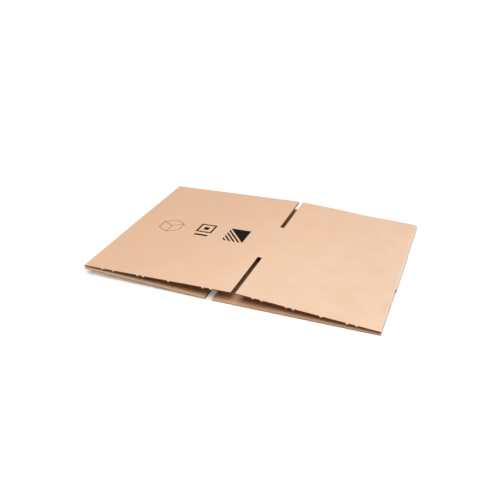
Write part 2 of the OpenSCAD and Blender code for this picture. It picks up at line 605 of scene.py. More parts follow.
@dataclass(frozen=True)
class LinerFinish:
    """Kraft liner: clouded paper with cross fibres, faint flute lines, flecks, pale creases that are partly
    rubbed paper and partly painted highlight, and a painted light slope that grows paler towards the right
    and the front.

    The ends of the painted light slope, the front band and the corner are shares of a panel's length.
    """

    name: str
    light: Colour
    dark: Colour
    pale: Colour
    fleck: Colour
    roughness: float
    wear_and_light_weight: float
    speck: float = 0.0
    # Pale band along the front cut edges and the left corner: partly rubbed paper, partly painted highlight.
    front_band: float = 0.0
    corner_band: float = 0.0
    source: Source = Source.ATTRIBUTE
    clouds: Grain = Grain(26.0, 2.0, 0.55)
    formation: Grain = Grain(210.0, 4.0, 0.5)
    fibres: Grain = Grain((260.0, 2100.0, 2100.0), 3.0, 0.55)
    flecks: Grain = Grain(620.0, 1.0, 0.4)
    fleck_step: Pair = (0.25, 0.31)
    flute_tone: float = 0.05
    # Painted light: a slope that makes the paper paler towards the right and the front, as if more light
    # fell there.
    light_slope_slant: float = 0.5
    light_slope_from: float = -0.7
    light_slope_to: float = 1.2
    least_paling: float = 0.75
    front_band_reach: float = 9 * MM
    front_band_step: float = 0.4
    corner_end: float = -0.5
    speck_place: Pair = (-147 * MM, -53 * MM)
    speck_step: Pair = (0.6 * MM, 2.2 * MM)
    # Pale bands on the folds and the middle crease: partly rubbed paper, partly painted highlight.
    fold_reach: float = 2 * MM
    fold_rub_and_highlight: float = 1.8
    ridge_reach: float = 1.1 * MM
    ridge_rub_and_highlight: float = 0.22
    score_reach: float = 1.2 * MM
    score_rub: float = 0.12
    # Pale band along the back edge over the dent: partly handling marks, partly painted highlight.
    back_edge_band_reach: float = 7 * MM
    thumb_spread: float = 60 * MM
    formation_matt: float = 0.12
    fibre_sheen: float = 0.1
    formation_relief: float = 0.5
    relief: float = 0.06 * MM

    def build(self, layout: CartonLayout) -> Material:
        """Lays out the liner's nodes.

        Args:
            layout: Gives the flute pitch and the places of folds and creases.

        Returns:
            The material.
        """
        paint = Paint(self.name)
        spot = paint.place(self.source)
        across, along = paint.axes(spot)
        layers = (self.clouds, self.formation, self.fibres, self.flecks)
        clouds, formation, fibres, flecks = (paint.grain(spot, layer) for layer in layers)
        flutes = paint.math("SINE", across * (FULL_TURN / layout.flute_pitch))
        tone = MIDDLE + clouds * self.clouds.weight + formation * self.formation.weight
        tone = tone + fibres * self.fibres.weight + flutes * self.flute_tone
        base = paint.mix(tone, self.dark, self.light)
        flecks = paint.step(flecks, *self.fleck_step)
        base = paint.mix(flecks * self.flecks.weight, base, self.fleck)
        # Painted light: the paper is made paler towards the right and the front.
        light_slope_from, light_slope_to = self.light_slope_from * layout.long_run, self.light_slope_to * layout.short_run
        painted_light_slope = paint.step(across - along * self.light_slope_slant, light_slope_from, light_slope_to)
        # Pale creases, partly rubbed paper and partly painted highlight, are added to the painted light
        # slope.
        wear_and_painted_light = self._creases(paint, layout, across, along) * (self.least_paling + fibres)
        wear_and_painted_light = wear_and_painted_light + painted_light_slope * (self.least_paling + clouds)
        base = paint.mix(wear_and_painted_light * self.wear_and_light_weight, base, self.pale)
        # Partly painted highlight: a pale band along the front-left cut edges.
        base = paint.mix(self._front_band(paint, layout, across, along), base, self.pale)
        base = paint.mix(self._speck(paint, across, along) * self.speck, base, self.fleck)
        roughness = self.roughness + formation * self.formation_matt - fibres * self.fibre_sheen
        return paint.finish(base, roughness, formation * self.formation_relief + fibres, self.relief)

    def _front_band(self, paint: Paint, layout: CartonLayout, across: Wire, along: Wire) -> Wire:
        """Masks a pale band along the left-hand part of the front cut edges, strongest at the left corner:
        partly rubbed paper, partly painted highlight where light reaches the edge of the lower sheet.

        Args:
            paint: The material.
            layout: Places of the edges.
            across: X coordinate.
            along: Y coordinate.

        Returns:
            The mask.
        """
        # Partly painted highlight where light reaches the front edge, strongest at the left corner.
        front = paint.line(along, -layout.score - layout.flap_depth, self.front_band_reach)
        half_step = self.front_band_step * layout.short_run
        front = front * (1.0 - paint.step(across, -half_step, half_step))
        corner = 1.0 - paint.step(across, layout.left_fold.x, self.corner_end * layout.short_run)
        return front * (self.front_band + corner * self.corner_band)

    def _speck(self, paint: Paint, across: Wire, along: Wire) -> Wire:
        """Masks one small rubbed speck on the front score of the upper long panel.

        Args:
            paint: The material.
            across: X coordinate.
            along: Y coordinate.

        Returns:
            The mask.
        """
        aside = across - self.speck_place[0]
        ahead = along - self.speck_place[1]
        distance = paint.math("SQRT", aside * aside + ahead * ahead)
        return 1.0 - paint.step(distance, *self.speck_step)

    def _creases(self, paint: Paint, layout: CartonLayout, across: Wire, along: Wire) -> Wire:
        """Masks the pale folds, creases, scores and a band along the back edge over the dent: rubbed paper,
        with painted highlights on the folds, the middle crease and the back edge band.

        Args:
            paint: The material.
            layout: Places of the folds.
            across: X coordinate.
            along: Y coordinate.

        Returns:
            The mask.
        """
        edge = layout.right_fold.x
        crease = layout.upper_short.start.x
        # Painted highlight: the folds and the middle crease are made paler than rubbing alone would make
        # them, as if they caught the light.
        folds = paint.step(paint.math("ABSOLUTE", across), edge - self.fold_reach, edge + layout.fold_outer)
        ridge = paint.line(across, crease, self.ridge_reach)
        scores = paint.line(paint.math("ABSOLUTE", along), layout.score, self.score_reach)
        # Partly painted highlight: a pale band along the back edge over the dent.
        back_edge_band = paint.line(along, layout.score + layout.flap_depth, self.back_edge_band_reach)
        back_edge_band = back_edge_band * paint.line(across, crease + layout.thumb_run, self.thumb_spread)
        return folds * self.fold_rub_and_highlight + ridge * self.ridge_rub_and_highlight + scores * self.score_rub + back_edge_band


@dataclass(frozen=True)
class RawPaperFinish:
    """Bare paper fibre: cut edges, the fluted medium and torn ends."""

    name: str
    light: Colour
    dark: Colour
    roughness: float
    coarse: float
    blotch_octaves: float = 2.0
    blotch_tone: float = 0.9
    fibres: Grain = Grain((900.0, 2600.0, 2600.0), 3.0, 1.2)
    fibre_sheen: float = 0.1
    relief: float = 0.12 * MM

    def build(self) -> Material:
        """Lays out the paper's nodes.

        Returns:
            The material.
        """
        paint = Paint(self.name)
        spot = paint.place()
        blotches = paint.grain(spot, Grain(self.coarse, self.blotch_octaves, self.blotch_tone))
        fibres = paint.grain(spot, self.fibres)
        tone = MIDDLE + blotches * self.blotch_tone + fibres * self.fibres.weight
        base = paint.mix(tone, self.dark, self.light)
        return paint.finish(base, self.roughness - fibres * self.fibre_sheen, fibres, self.relief)


@dataclass(frozen=True)
class InkFinish:
    """Water-based printing ink on kraft, with pinholes where the paper's valleys stayed bare."""

    name: str
    ink: Colour
    thin: Colour
    paper: Colour
    roughness: float
    lay: Grain = Grain(420.0, 3.0, 0.15)
    lay_step: Pair = (0.02, 0.3)
    pores: Grain = Grain(1900.0, 2.0, 0.55)
    pore_step: Pair = (0.2, 0.32)
    relief: float = 0.02 * MM
    gloss: float = 0.04

    def build(self) -> Material:
        """Lays out the ink's nodes.

        Returns:
            The material.
        """
        paint = Paint(self.name)
        spot = paint.place()
        lay = paint.grain(spot, self.lay)
        pores = paint.grain(spot, self.pores)
        base = paint.mix(paint.step(lay, *self.lay_step), self.ink, self.thin)
        base = paint.mix(paint.step(pores, *self.pore_step) * self.pores.weight, base, self.paper)
        roughness = self.roughness + lay * self.lay.weight
        return paint.finish(base, roughness, pores, self.relief, self.gloss)


@dataclass
class FinishSet:
    """Every material of the carton, built once."""

    layout: CartonLayout
    outer: Material = field(init=False)
    inner: Material = field(init=False)
    tab: Material = field(init=False)
    edge: Material = field(init=False)
    flute: Material = field(init=False)
    torn: Material = field(init=False)
    painted_lit_edge: Material = field(init=False)
    ink: Material = field(init=False)

    def __post_init__(self) -> None:
        """Builds the materials."""
        outside = LinerFinish(
            name="kraft_liner_outside",
            light=(0.855, 0.565, 0.385, 1.0),
            dark=(0.785, 0.505, 0.335, 1.0),
            pale=(0.93, 0.72, 0.56, 1.0),
            fleck=(0.55, 0.33, 0.20, 1.0),
            roughness=0.78,
            wear_and_light_weight=0.55,
            speck=0.8,
        )
        # Inside liner, also used for the glue tab: darker and more saturated than the outside liner, which
        # paints shade into the gaps between the layers and the slots.
        inside = LinerFinish(
            name="kraft_liner_inside",
            light=(0.585, 0.35, 0.20, 1.0),
            dark=(0.505, 0.29, 0.16, 1.0),
            pale=(0.86, 0.64, 0.48, 1.0),
            fleck=(0.36, 0.21, 0.12, 1.0),
            roughness=0.84,
            wear_and_light_weight=0.15,
            front_band=0.4,
            corner_band=0.5,
        )
        glued = replace(inside, name="glued_tab_liner", source=Source.OBJECT)
        self.outer, self.inner, self.tab = (liner.build(self.layout) for liner in (outside, inside, glued))
        # Two copies of the cut edge: this dark one paints the shade on the front cut edges, the slot walls
        # and the sleeve's ends.
        self.edge = RawPaperFinish(
            name="cut_liner_edge",
            light=(0.26, 0.135, 0.06, 1.0),
            dark=(0.13, 0.062, 0.026, 1.0),
            roughness=0.9,
            coarse=380.0,
        ).build()
        self.flute = RawPaperFinish(
            name="fluted_medium",
            light=(0.24, 0.135, 0.07, 1.0),
            dark=(0.14, 0.075, 0.036, 1.0),
            roughness=0.9,
            coarse=160.0,
        ).build()
        self.torn = RawPaperFinish(
            name="torn_liner_fibre",
            light=(0.95, 0.76, 0.60, 1.0),
            dark=(0.84, 0.61, 0.44, 1.0),
            roughness=0.95,
            coarse=700.0,
        ).build()
        # Pale copy of the cut edge, painted light, for the flaps on the floor and the sides of the back
        # flaps.
        self.painted_lit_edge = RawPaperFinish(
            name="frayed_cut_edge",
            light=(0.66, 0.50, 0.38, 1.0),
            dark=(0.46, 0.32, 0.22, 1.0),
            roughness=0.95,
            coarse=420.0,
        ).build()
        self.ink = InkFinish(
            name="black_flexo_ink",
            ink=(0.008, 0.005, 0.005, 1.0),
            thin=(0.022, 0.015, 0.012, 1.0),
            paper=(0.36, 0.22, 0.14, 1.0),
            roughness=0.7,
        ).build()


@dataclass(frozen=True)
class Curl:
    """A place where a flap's cut edge has been pressed away from its plane."""

    run: float
    spread: float
    drop: float
    order: int = 4

    def at(self, run: float, share: float) -> float:
        """Drop at a run along the flap and a share of its depth."""
        return self.drop * math.exp(-(((run - self.run) / self.spread) ** 2)) * share**self.order


@dataclass
class FlapBoard:
    """One flap of three papers: two liners and the fluted medium between them, open at the cut edge.

    A pair is the least and the most of a random draw: in millimetres for the tears and a tuft's side and
    reach, and as shares for its width, hang and strands. The tear's steps are shares of its length. The
    layers are the papers' places in the noise that frays their edges.
    """

    layout: CartonLayout
    finishes: FinishSet
    node: str
    body: str
    panel: PanelFrame
    end: End
    run_from: float
    width: float
    fold_side: int
    nick_shares: tuple[float, ...] = ()
    curls: tuple[Curl, ...] = ()
    seed: int = 1
    liner_steps: int = 6
    medium_steps: int = 8
    medium_inset: float = 2.6 * MM
    bend: float = 3.5 * MM
    bend_rows: int = 10
    row_shares: tuple[float, ...] = (0.12, 0.3, 0.5, 0.68, 0.83, 0.93)
    washboard: float = 0.035 * MM
    crush: float = 0.16 * MM
    crush_reach: float = 0.8 * MM
    squash: float = 1.3 * MM
    squash_reach: float = 4 * MM
    squash_shares: tuple[float, ...] = (1.0, 0.75, 0.5, 0.3)
    lip: float = 0.2 * MM
    roll: float = 1 * MM
    roll_reach: float = 1.9 * MM
    ragged: float = 0.26 * MM
    rag_pace: float = 0.9
    rag_seed: float = 7.3
    side_ragged: float = 0.6
    side_pace: float = 0.35
    side_seed: float = 3.1
    liner_layer: float = 11.0
    medium_layer: float = 13.0
    nick_width: float = 3 * MM
    nick_out: float = 1.1 * MM
    tear_steps: Pair = (0.4, 0.35)
    tear_taper: float = 0.5
    tear_side: Pair = (-0.12, 0.12)
    tear_reach: Pair = (-0.3, 0.12)
    tear_rise: Pair = (-0.25, 0.1)
    tuft_columns: int = 12
    tuft_rows: int = 6
    tuft_width: Pair = (1.0, 1.25)
    tuft_hang: Pair = (1.15, 1.45)
    tuft_strand: Pair = (0.55, 1.1)
    tuft_side: Pair = (-0.08, 0.08)
    tuft_reach: Pair = (-0.06, 0.06)
    tuft_taper: float = 0.25
    tuft_bulge: float = 0.55
    tuft_root: float = 0.2
    tuft_gap: float = 0.1 * MM
    tuft_drop: float = 0.3 * MM
    tuft_paper: float = 0.4
    smooth_angle: float = math.radians(40)

    def build(self) -> Piece:
        """Models the flap in place, and puts it on the sleeve when that is its body.

        Returns:
            The finished piece.
        """
        sheets = [self._ply(ply) for ply in Ply]
        sheets += [self._tuft(nick) for nick in self._nicks()]
        piece = join(self.node.replace("_flap", "_board"), sheets)
        smooth(piece, self.smooth_angle)
        note_places(piece)
        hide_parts(self.node)
        self._hang(piece)
        return piece

    def _hang(self, piece: Piece) -> None:
        """Lets the piece ride on the sleeve, or else bakes its place into its mesh; the points worked out
        for a bend between the sleeve and its own body are not used.

        Args:
            piece: The finished piece.
        """
        if self.body == "sleeve":
            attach(piece, "sleeve")
            return
        middle = self.panel.outer(self.run_from + self.width / 2, self.layout.board)
        start = middle + Vector((0.0, self.end.value * self.layout.score, 0.0))
        finish = start + Vector((0.0, self.end.value * self.bend, 0.0))
        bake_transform(piece)

    def _stations(self) -> list[float]:
        """Finds where the sheets get a row of vertices.

        Returns:
            Distances from the score.
        """
        depth = self.layout.flap_depth
        bend = [self.bend * row / self.bend_rows for row in range(self.bend_rows + 1)]
        rows = [depth * share for share in self.row_shares]
        squash = [depth - self.squash_reach * share for share in self.squash_shares]
        return bend + rows + squash + [depth - self.crush_reach, depth - self.lip, depth]

    def _first_flute(self) -> float:
        """Run along the panel at which the first open flute lies."""
        pitch = self.layout.flute_pitch
        return self.run_from + (self.width - (math.floor(self.width / pitch) - 1) * pitch) / 2

    def flute_phase(self, run: float) -> float:
        """Angle of the flute wave at a run along the panel, zero where the medium meets the inner liner."""
        return FULL_TURN * (run - self._first_flute()) / self.layout.flute_pitch

    def _warp(self, run: float, reach: float) -> float:
        """Lift of the flap out of its plane, which fades out towards the score."""
        share = reach / self.layout.flap_depth
        return -sum(curl.at(run - self.run_from, share) for curl in self.curls)

    def _near_cut(self, reach: float, span: float) -> float:
        """Smooth step from 0 at a span before the cut edge to 1 on it."""
        return ease((reach - self.layout.flap_depth + span) / span)

    def _rolled(self, run: float) -> float:
        """How far the slotting knife turned the two liners in, along the side that lies at a fold."""
        inward = self.width - (run - self.run_from) if self.fold_side > 0 else run - self.run_from
        return self.roll * ease(1 - inward / self.roll_reach)

    def _rise(self, ply: Ply, run: float, reach: float) -> float:
        """Finds the height of a paper above the panel's inner face.

        Args:
            ply: Which of the three papers.
            run: Distance along the panel.
            reach: Distance from the score.

        Returns:
            The height of the paper's outside, or of the middle of the medium.
        """
        layout = self.layout
        press = layout.pressed(reach)
        wave = math.cos(self.flute_phase(run))
        rolled = self._rolled(run)
        lip = self.crush * self._near_cut(reach, self.crush_reach)
        squashed = self.squash * self._near_cut(reach, self.squash_reach) if self.end is End.FRONT else 0.0
        calm = self.washboard * (1 - press) / 2
        top = layout.board - layout.score_outer * press - max(lip, rolled) - calm * (1 + wave)
        bottom = layout.score_inner * press + max(squashed, rolled) + calm * (1 - wave)
        if ply is Ply.OUTER:
            return top
        if ply is Ply.INNER:
            return bottom
        room = (top - bottom) / 2 - layout.liner - layout.medium / 2
        return (top + bottom) / 2 - room * wave

    def _ply(self, ply: Ply) -> Piece:
        """Models one paper of the board.

        Args:
            ply: Which of the three papers.

        Returns:
            The paper, in the CAD frame.
        """
        layout = self.layout
        steps, inset, paper = self.liner_steps, 0.0, layout.liner
        if ply is Ply.MEDIUM:
            steps, inset, paper = self.medium_steps, self.medium_inset, layout.medium
        sheet = self._lay(ply.name.lower(), round(self.width / layout.flute_pitch) * steps, inset)
        if ply is Ply.OUTER and self.nick_shares:
            self._tear_nicks(sheet)
        self._shape(sheet, ply)
        thicken(sheet, paper, -ply.value)
        self._paint(sheet, ply)
        self._set_in_place(sheet)
        return sheet

    def _lay(self, name: str, columns: int, inset: float) -> Piece:
        """Lays a flat sheet out from the score, row by row.

        Args:
            name: Name of the sheet.
            columns: How many columns of faces it has.
            inset: How far it stops short of the flap's two sides.

        Returns:
            The flat sheet, in run and reach.
        """
        grid = {"x_subdivisions": columns, "y_subdivisions": 1, "size": 1}
        sheet = start_from(bpy.ops.mesh.primitive_grid_add, name, **grid)
        stations = self._stations()[1:]
        depth = stations[0]
        with editing(sheet):
            bpy.ops.mesh.select_all(action="SELECT")
            bpy.ops.transform.resize(value=(self.width - 2 * inset, depth, 1), center_override=(0, 0, 0))
            bpy.ops.transform.translate(value=(self.run_from + self.width / 2, depth / 2, 0))
            pick(sheet, lambda a, b: min(a.y, b.y) > depth - TINY)
            for near, far in pairwise(stations):
                push_edges(Vector((0.0, far - near, 0.0)))
        return sheet

    def _nicks(self) -> list[float]:
        """Finds the torn nicks, each where the medium crosses between the liners.

        Returns:
            Runs of their middles along the panel.
        """
        half_pitch = self.layout.flute_pitch / 2
        first = self._first_flute() + half_pitch / 2
        places = [self.run_from + share * self.width for share in self.nick_shares]
        return [first + round((place - first) / half_pitch) * half_pitch for place in places]

    def _tear_nicks(self, sheet: Piece) -> None:
        """Draws the torn remnants of the liner out of the cut edge.

        Args:
            sheet: The flat outer liner.
        """
        depth = self.layout.flap_depth
        middles = self._nicks()

        def torn(a: Vector, b: Vector) -> bool:
            """Says whether an edge lies on the cut edge within a nick."""
            near = any(abs((a.x + b.x) / 2 - nick) < self.nick_width / 2 for nick in middles)
            return near and min(a.y, b.y) > depth - TINY

        with editing(sheet):
            pick(sheet, torn)
            for share in self.tear_steps:
                push_edges(Vector((0.0, self.nick_out * share, 0.0)))
        draw = random.Random(self.seed)
        for vertex in sheet.data.vertices:
            beyond = (vertex.co.y - depth) / self.nick_out
            if beyond > TINY:
                nick = min(middles, key=lambda place: abs(place - vertex.co.x))
                side = (vertex.co.x - nick) * (1 - self.tear_taper * beyond)
                vertex.co.x = nick + side + draw.uniform(*self.tear_side) * MM
                vertex.co.y += draw.uniform(*self.tear_reach) * MM * beyond
                vertex.co.z = draw.uniform(*self.tear_rise) * MM * beyond

    def _tuft(self, nick: float) -> Piece:
        """Models the torn paper that hangs over the cut edge at a nick.

        Args:
            nick: Middle of the nick along the panel.

        Returns:
            The tuft, in the CAD frame.
        """
        layout = self.layout
        draw = random.Random(f"{self.seed} {nick:.5f}")
        grid = {"x_subdivisions": self.tuft_columns, "y_subdivisions": self.tuft_rows, "size": 1}
        tuft = start_from(bpy.ops.mesh.primitive_grid_add, "tuft", **grid)
        width = self.nick_width * draw.uniform(*self.tuft_width)
        hang = (layout.board - self.squash) * draw.uniform(*self.tuft_hang)
        strands = [draw.uniform(*self.tuft_strand) for _ in range(self.tuft_columns + 1)]
        for vertex in tuft.data.vertices:
            side, down = vertex.co.x, HALF_UNIT - vertex.co.y
            strand = strands[round((side + HALF_UNIT) * self.tuft_columns)]
            run = nick + side * width * (1 - self.tuft_taper * down) + draw.uniform(*self.tuft_side) * MM
            swing = math.sin(HALF_TURN * (self.tuft_root + (1 - self.tuft_root) * down))
            bulge = self.nick_out * self.tuft_bulge * swing * strand
            reach = layout.flap_depth + self.tuft_gap + bulge + draw.uniform(*self.tuft_reach) * MM
            rise = layout.board - self.tuft_drop - hang * down * (1 + (strand - 1) * down)
            vertex.co = (run, reach, rise + self._warp(run, layout.flap_depth))
        thicken(tuft, layout.liner * self.tuft_paper, 0.0)
        tuft.data.materials.append(self._fibre())
        self._set_in_place(tuft)
        return tuft

    def _fibre(self) -> Material:
        """Finish of the torn ends: bright torn fibre on the upper flaps, and the paler, painted-light copy
        of the cut edge on the flaps that lie on the floor.
        """
        return self.finishes.painted_lit_edge if self.panel.facing is Facing.DOWN else self.finishes.torn

    def _set_in_place(self, sheet: Piece) -> None:
        """Moves a paper from run, reach and rise to the CAD frame.

        Args:
            sheet: The paper.
        """
        placed = self.panel.matrix(self.end, self.layout.score)
        sheet.data.transform(placed)
        if placed.determinant() < 0:
            sheet.data.flip_normals()

    def _shape(self, sheet: Piece, ply: Ply) -> None:
        """Presses the scores, waves and cut edge into a flat sheet.

        Args:
            sheet: The flat sheet.
            ply: Which paper it is.
        """
        side = self.width / 2
        layer = self.medium_layer if ply is Ply.MEDIUM else self.liner_layer
        for vertex in sheet.data.vertices:
            run, reach, torn = vertex.co
            edge = self._near_cut(reach, self.crush_reach)
            rag = noise.noise(Vector((run / MM * self.rag_pace, self.seed * self.rag_seed, layer)))
            side_rag = noise.noise(Vector((reach / MM * self.side_pace, self.seed * self.side_seed, layer)))
            at_side = abs(run - self.run_from - side) > side - TINY
            vertex.co.z = torn + self._rise(ply, run, reach) + self._warp(run, reach)
            vertex.co.y = reach + self.ragged * rag * edge
            if at_side and reach > self.bend:
                vertex.co.x = run + self.ragged * self.side_ragged * side_rag

    def _paint(self, sheet: Piece, ply: Ply) -> None:
        """Gives a paper's faces their finishes.

        Args:
            sheet: The paper, still in run, reach and rise.
            ply: Which paper it is.
        """
        coats = self.finishes
        flat = {Ply.OUTER: coats.outer, Ply.MEDIUM: coats.flute, Ply.INNER: coats.inner}[ply]
        # Painted light and shade: the back flaps' sides and the floor flaps' cut edges take the pale copy of
        # the cut edge, the others the dark copy.
        side = coats.painted_lit_edge if self.end is End.BACK else coats.edge
        cut = coats.painted_lit_edge if self.panel.facing is Facing.DOWN else coats.edge
        for material in (flat, side, coats.flute, self._fibre(), cut):
            sheet.data.materials.append(material)
        for polygon in sheet.data.polygons:
            polygon.material_index = self._face(polygon, ply).value

    def _face(self, polygon: bpy.types.MeshPolygon, ply: Ply) -> Face:
        """Tells which face of a paper a polygon belongs to.

        Args:
            polygon: The polygon, still in run, reach and rise.
            ply: Which paper it is on.

        Returns:
            The face.
        """
        looks = polygon.normal.z * ply.value
        if ply is Ply.OUTER and polygon.center.y > self.layout.flap_depth + self.ragged:
            return Face.TORN
        if ply is Ply.MEDIUM or looks > FACING:
            return Face.FLAT
        if looks < -FACING:
            return Face.GLUED
        if abs(polygon.normal.y) > FACING:
            return Face.CUT
        at_fold = (polygon.center.x - self.run_from - self.width / 2) * self.fold_side > 0
        return Face.FLAT if at_fold else Face.SIDE


@dataclass
class SleeveBoard:
    """The four panels between the flap scores, folded flat round two rolled folds."""

    layout: CartonLayout
    finishes: FinishSet
    flaps: dict[str, FlapBoard]
    fold_steps: int = 18
    score_rows: int = 5
    middle_rows: int = 14
    crease_shares: Pair = (0.35, 0.7)
    steps: int = 6
    long_edge: float = 50 * MM
    flute_edge: float = 0.6
    on_face: float = 0.3 * MM
    swell: float = 0.22 * MM
    swell_pace: Triple = (14.0, 9.0, 50.0)
    calm_reach: float = 18 * MM
    calm_run: float = 15 * MM
    washboard: float = 0.035 * MM
    end_depth: float = 0.1 * MM
    end_facing: float = 0.7
    smooth_angle: float = math.radians(35)

    def build(self) -> Piece:
        """Models the sleeve in place.

        Returns:
            The finished piece.
        """
        sheet = self._fold_up()
        self._cut_columns(sheet)
        self._press(sheet)
        skin = [vertex.co.copy() for vertex in sheet.data.vertices]
        thicken(sheet, self.layout.board, -1.0)
        self._press_inside(sheet, skin)
        self._paint(sheet, len(skin))
        smooth(sheet, self.smooth_angle)
        note_places(sheet)
        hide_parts("sleeve")
        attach(sheet, "sleeve")
        return sheet

    def _rows(self) -> list[float]:
        """Finds where the sleeve has a row of vertices.

        Returns:
            Distances from front to back.
        """
        score = self.layout.score
        press = self.layout.score_width / 2
        groove = [score - press * row / self.score_rows for row in range(self.score_rows + 1)]
        middle = (score - press) * 2
        body = [-middle / 2 + middle * row / self.middle_rows for row in range(1, self.middle_rows)]
        return [-place for place in groove] + body + groove[::-1]

    def _fold_up(self) -> Piece:
        """Draws the outer face out from the glue joint, round both folds to the last panel's cut edge.

        Returns:
            The outer face as an open sheet.
        """
        layout = self.layout
        first, second = layout.lower_short, layout.upper_long
        third, last = layout.upper_short, layout.lower_long
        rows = self._rows()
        grid = {"x_subdivisions": 1, "y_subdivisions": len(rows) - 1, "size": 1}
        sheet = start_from(bpy.ops.mesh.primitive_grid_add, "sleeve_board", **grid)
        for vertex in sheet.data.vertices:
            vertex.co.y = rows[round((vertex.co.y + HALF_UNIT) * (len(rows) - 1))]
        path = [second.outer(0.0, layout.board), *self._ridge_points()]
        path.append(third.outer(third.length, layout.board))
        with editing(sheet):
            for side, run in ((HALF_UNIT, first.length), (-HALF_UNIT, 0.0)):
                pick(sheet, lambda a, b: max(abs(a.x - side), abs(b.x - side)) < TINY)
                foot = first.outer(run, layout.board)
                bpy.ops.transform.translate(value=tuple(foot - Vector((side, 0.0, 0.0))))
            self._roll(layout.left_fold, HALF_TURN + first.tilt - second.tilt)
            for here, there in pairwise(path):
                push_edges(there - here)
            self._roll(layout.right_fold, HALF_TURN + third.tilt)
            push_edges(last.outer(0.0, layout.board) - last.outer(last.length, layout.board))
            bpy.ops.mesh.select_all(action="SELECT")
            bpy.ops.mesh.normals_make_consistent(inside=False)
        return sheet

    def _roll(self, centre: Vector, turn: float) -> None:
        """Rolls the selected edges round a fold, clockwise as seen from the front."""
        bpy.ops.mesh.spin(steps=self.fold_steps, angle=-turn, center=tuple(centre), axis=(0, 1, 0))

    def _ridge_points(self) -> list[Vector]:
        """Finds the outer face's points across the pressed middle crease.

        Returns:
            The points, from left to right.
        """
        layout = self.layout
        half = layout.score_width / 2
        left, right = layout.upper_long, layout.upper_short
        upright = heading((left.tilt + right.tilt) / 2 + QUARTER_TURN)
        slopes = []
        for panel, shoulder_run, crease_run in ((left, left.length - half, left.length), (right, half, 0.0)):
            shoulder = panel.outer(shoulder_run, layout.board)
            slope = [shoulder]
            for share in self.crease_shares:
                flat = shoulder.lerp(panel.outer(crease_run, layout.board), share)
                slope.append(flat - upright * layout.score_outer * ease(share))
            slopes.append(slope)
        bottom = right.start + upright * (layout.board - layout.score_outer)
        return [*slopes[0], bottom, *reversed(slopes[1])]

    def _cut_columns(self, sheet: Piece) -> None:
        """Divides the four panels into columns, a few to each flute.

        Args:
            sheet: The outer face, with each panel still one column wide.
        """
        pitch = self.layout.flute_pitch

        def lengthwise(least: float, most: float) -> EdgeTest:
            """Makes the test for edges along the panels whose length is between two others."""
            return lambda a, b: abs(a.y - b.y) < TINY and least < (a - b).length < most

        with editing(sheet):
            pick(sheet, lengthwise(self.long_edge, math.inf))
            bpy.ops.mesh.subdivide(number_cuts=round(self.layout.long_run / pitch) - 1)
            pick(sheet, lengthwise(self.flute_edge * pitch, self.long_edge))
            bpy.ops.mesh.subdivide(number_cuts=self.steps - 1)

    def _on_panel(self, spot: Vector) -> tuple[FlapBoard, float] | None:
        """Finds the panel that a point of the outer face lies on.

        Args:
            spot: The point.

        Returns:
            A flap of that panel and the run along it, or nothing on a fold or the middle crease.
        """
        for flap in self.flaps.values():
            panel = flap.panel
            offset = spot - panel.start
            run = offset.dot(heading(panel.tilt))
            rise = offset.dot(panel.outward)
            if abs(rise - self.layout.board) < self.on_face and -TINY < run < panel.length + TINY:
                return flap, run
        return None

    def _press(self, sheet: Piece) -> None:
        """Presses the flap scores, the flute lines and a slight unevenness into the outer face.

        Args:
            sheet: The outer face.
        """
        layout = self.layout
        for vertex in sheet.data.vertices:
            found = self._on_panel(Vector((vertex.co.x, 0.0, vertex.co.z)))
            if found is None:
                continue
            flap, run = found
            panel = flap.panel
            inset = layout.score - abs(vertex.co.y)
            press = layout.pressed(inset)
            wave = (1 + math.cos(flap.flute_phase(run))) / 2
            lift = -layout.score_outer * press - self.washboard * wave * (1 - press)
            if panel.facing is Facing.UP:
                calm = ease(inset / self.calm_reach)
                calm *= ease(run / self.calm_run) * ease((panel.length - run) / self.calm_run)
                spot = Vector((vertex.co.x, vertex.co.y, panel.tilt))
                lift += self.swell * noise.noise(spot * Vector(self.swell_pace)) * calm
            vertex.co += panel.outward * lift

    def _press_inside(self, sheet: Piece, skin: Sequence[Vector]) -> None:
        """Presses the deep inner grooves of the flap scores and the middle crease.

        Args:
            sheet: The sleeve with its thickness.
            skin: The outer face's points, in the order of the sleeve's first half.
        """
        layout = self.layout
        count = len(skin)
        vertices = sheet.data.vertices
        kept = (vertices[0].co - skin[0]).length < (vertices[count].co - skin[0]).length
        shift = 0 if kept else count
        ridge = layout.upper_short.start
        for place in range(count):
            inside = vertices[place + count - shift]
            outside = vertices[place + shift]
            through = outside.co - inside.co
            press = layout.pressed(layout.score - abs(outside.co.y))
            if outside.co.z > ridge.z:
                press = max(press, layout.pressed(outside.co.x - ridge.x))
            if through.length > TINY:
                inside.co += through.normalized() * layout.score_inner * press

    def _paint(self, sheet: Piece, count: int) -> None:
        """Gives the sleeve's faces their finishes.

        Args:
            sheet: The sleeve with its thickness.
            count: How many points its outer face has.
        """
        # The sleeve's ends and rims take the dark copy of the cut edge, which is painted shade.
        for material in (self.finishes.outer, self.finishes.inner, self.finishes.edge):
            sheet.data.materials.append(material)
        end = self.layout.score - self.end_depth
        for polygon in sheet.data.polygons:
            inner = sum(1 for corner in polygon.vertices if corner >= count)
            lining = Lining.INSIDE if inner else Lining.OUTSIDE
            on_end = abs(polygon.center.y) > end and abs(polygon.normal.y) > self.end_facing
            if on_end or 0 < inner < len(polygon.vertices):
                lining = Lining.EDGE
            polygon.material_index = lining.value


